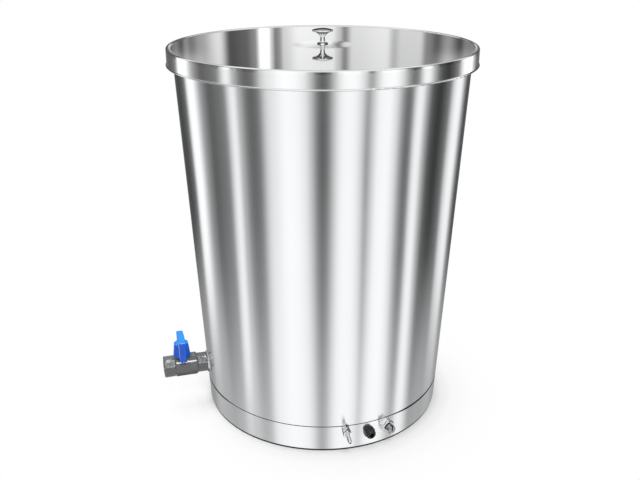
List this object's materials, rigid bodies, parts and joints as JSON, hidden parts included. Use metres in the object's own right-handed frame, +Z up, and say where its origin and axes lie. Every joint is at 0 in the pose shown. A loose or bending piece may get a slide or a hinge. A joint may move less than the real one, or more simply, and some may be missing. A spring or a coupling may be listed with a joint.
{
  "type": "heated dispensing tank",
  "caption": "Tapered double-walled stainless steel tank with a lift-off lid and a heated water jacket, which warms honey and draws it off through a ball valve near its foot.",
  "frame": {"origin": "on the tank's axis, on the floor under the foot ring", "axes": "+Z up along the tank's axis, the outlet valve points along -X, and the skirt's fittings face -Y"},
  "size_m": [0.5511, 0.5072, 0.6674],
  "materials": {
    "brushed_steel": "fine brushed along the sheet, passivated",
    "polished_steel": "mirror polished",
    "vessel_steel": "satin, food grade",
    "plated_steel": "zinc plated",
    "bright_chrome": "bright plated",
    "grey_pvc": "semi-gloss moulded",
    "blue_plastic": "glossy moulded",
    "white_polymer": "smooth, low friction",
    "black_nylon": "satin moulded",
    "black_rubber": "matte",
    "red_silicone": "matte",
    "black_phenolic": "satin",
    "heater_sheath": "oxidised sheath",
    "ceramic": "glazed ceramic bead on a plated pin",
    "copper": "drawn copper",
    "lead_sleeve": "silicone insulation"
  },
  "bodies": {
    "tank": {"outer_shell": "brushed_steel", "base_skirt": "brushed_steel", "foot_ring": "black_rubber", "base_plate": "plated_steel", "base_plate_screws": "plated_steel", "jacket_floor": "vessel_steel", "inner_vessel": "vessel_steel", "vessel_floor": "vessel_steel", "rim_wire": "plated_steel", "outlet_nipple": "vessel_steel", "wall_collar": "polished_steel", "valve_body": "grey_pvc", "valve_end_connector": "grey_pvc", "ball_seats": "white_polymer", "drain_cock_body": "bright_chrome", "drain_nozzle": "bright_chrome", "drain_locknut": "plated_steel", "drain_pipe": "copper", "gland_body": "black_nylon", "gland_cap": "black_nylon", "gland_seal": "black_rubber", "gland_locknut": "black_nylon", "thermostat_washer": "polished_steel", "thermostat_nut": "bright_chrome", "thermostat_housing": "black_phenolic", "sensor_pocket": "vessel_steel", "thermostat_bulb": "copper", "heater_element": "heater_sheath", "heater_flange": "vessel_steel", "heater_gasket": "red_silicone", "heater_studs": "plated_steel", "heater_nuts": "plated_steel", "heater_terminals": "ceramic", "heater_terminal_nuts": "plated_steel", "terminal_block": "white_polymer", "terminal_block_screws": "plated_steel", "internal_leads": "lead_sleeve"},
    "valve_turn": {"valve_handle": "blue_plastic", "valve_stem": "grey_pvc", "valve_ball": "grey_pvc", "stem_o_rings": "black_rubber"},
    "lid": {"lid": "polished_steel", "lid_knob": "bright_chrome", "knob_washer": "plated_steel", "knob_screw": "plated_steel"},
    "spindle": {"thermostat_spindle": "polished_steel"},
    "drain_sleeve": {"drain_cock_sleeve": "bright_chrome"}
  },
  "joints": [
    {"name": "valve_quarter_turn", "type": "hinge", "parent": "tank", "child": "valve_turn", "pos_m": [-0.26374, 0, 0.0826], "axis": [0, 0, -1], "range_deg": [0, 90]},
    {"name": "lid_lift", "type": "slide", "parent": "tank", "child": "lid", "axis": [0, 0, 1], "range_m": [0, 0.45]},
    {"name": "thermostat_set", "type": "hinge", "parent": "tank", "child": "spindle", "pos_m": [0.05245, -0.20879, 0.0344], "axis": [0.2434, -0.9689, -0.0459], "range_deg": [0, 270]},
    {"name": "drain_open", "type": "hinge", "parent": "tank", "child": "drain_sleeve", "pos_m": [-0.02028, -0.21454, 0.039], "axis": [-0.094, -0.9945, -0.0459], "range_deg": [0, 90]}
  ]
}
